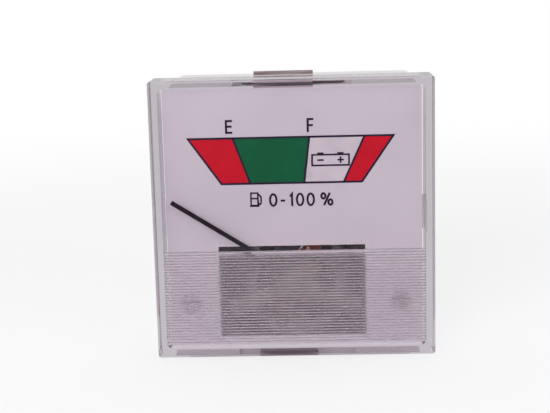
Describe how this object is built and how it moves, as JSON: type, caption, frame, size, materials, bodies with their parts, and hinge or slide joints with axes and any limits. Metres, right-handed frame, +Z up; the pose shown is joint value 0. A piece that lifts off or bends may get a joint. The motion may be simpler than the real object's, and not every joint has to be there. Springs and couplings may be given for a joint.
{
  "type": "fuel gauge",
  "caption": "Square clear-fronted panel meter with a fuel scale, a black pointer over a ribbed lower window, a snap-in white case with spring clips and rear terminals.",
  "frame": {"origin": "middle of the panel plane, where the back of the clear cover meets the panel", "axes": "+Z up, the dial faces -Y, +Y runs into the panel towards the terminals, +X to the right seen from the front"},
  "size_m": [0.048, 0.044, 0.0492],
  "materials": {
    "clear_plastic": "polished clear acrylic",
    "white_plastic": "moulded, fine satin",
    "dial_enamel": "smooth matt white enamel with a printed scale",
    "zinc_steel": "zinc plated",
    "dark_plastic": "moulded phenolic",
    "soft_iron": "blackened soft iron",
    "magnet": "cast magnet alloy",
    "brass": "turned and stamped brass",
    "bronze": "phosphor bronze",
    "black_paint": "matt black paint on aluminium",
    "bright_steel": "ground",
    "aluminium": "bare",
    "copper_wire": "enamelled copper wire",
    "tinned_brass": "tinned",
    "resistor_lacquer": "lacquer",
    "diode_glass": "glass bead",
    "red_wire": "PVC insulation",
    "spring_steel": "blued spring steel"
  },
  "bodies": {
    "housing": {"front_cover": "clear_plastic", "rear_case": "white_plastic", "dial_plate": "dial_enamel", "dial_screws": "zinc_steel", "movement_frame": "dark_plastic", "frame_screws": "zinc_steel", "yoke_ring": "soft_iron", "core_magnet": "magnet", "core_spacers": "brass", "front_bridge": "brass", "rear_bridge": "brass", "bridge_screws": "zinc_steel", "front_jewel_screw": "brass", "rear_jewel_screw": "brass", "zero_lever": "bronze", "rear_spring_anchor": "bronze", "front_hairspring": "bronze", "rear_hairspring": "bronze", "terminal_studs": "brass", "terminal_washers": "zinc_steel", "clamp_nuts": "brass", "solder_tags": "tinned_brass", "terminal_nuts": "brass", "series_resistor": "resistor_lacquer", "zener_diode": "diode_glass", "component_leads": "tinned_brass", "supply_wire": "red_wire"},
    "pointer_assembly": {"pointer": "black_paint", "front_pivot": "bright_steel", "rear_pivot": "bright_steel", "coil_former": "aluminium", "moving_coil": "copper_wire", "balance_cross": "bright_steel", "balance_weights": "bronze"},
    "top_spring_clip": {"top_clip": "spring_steel"},
    "bottom_spring_clip": {"bottom_clip": "spring_steel"}
  },
  "joints": [
    {"name": "pointer_pivot", "type": "hinge", "parent": "housing", "child": "pointer_assembly", "pos_m": [0, 0.009, -0.0106], "axis": [0, 1, 0], "range_deg": [0, 102], "stiffness_Nm_per_rad": 0.000002, "deforming": ["front_hairspring", "rear_hairspring"]},
    {"name": "top_clip_flex", "type": "hinge", "parent": "housing", "child": "top_spring_clip", "pos_m": [0, 0.0175, 0.0214], "axis": [1, 0, 0], "range_deg": [0, 9], "stiffness_Nm_per_rad": 0.3},
    {"name": "bottom_clip_flex", "type": "hinge", "parent": "housing", "child": "bottom_spring_clip", "pos_m": [0, 0.0175, -0.0214], "axis": [-1, 0, 0], "range_deg": [0, 9], "stiffness_Nm_per_rad": 0.3}
  ]
}
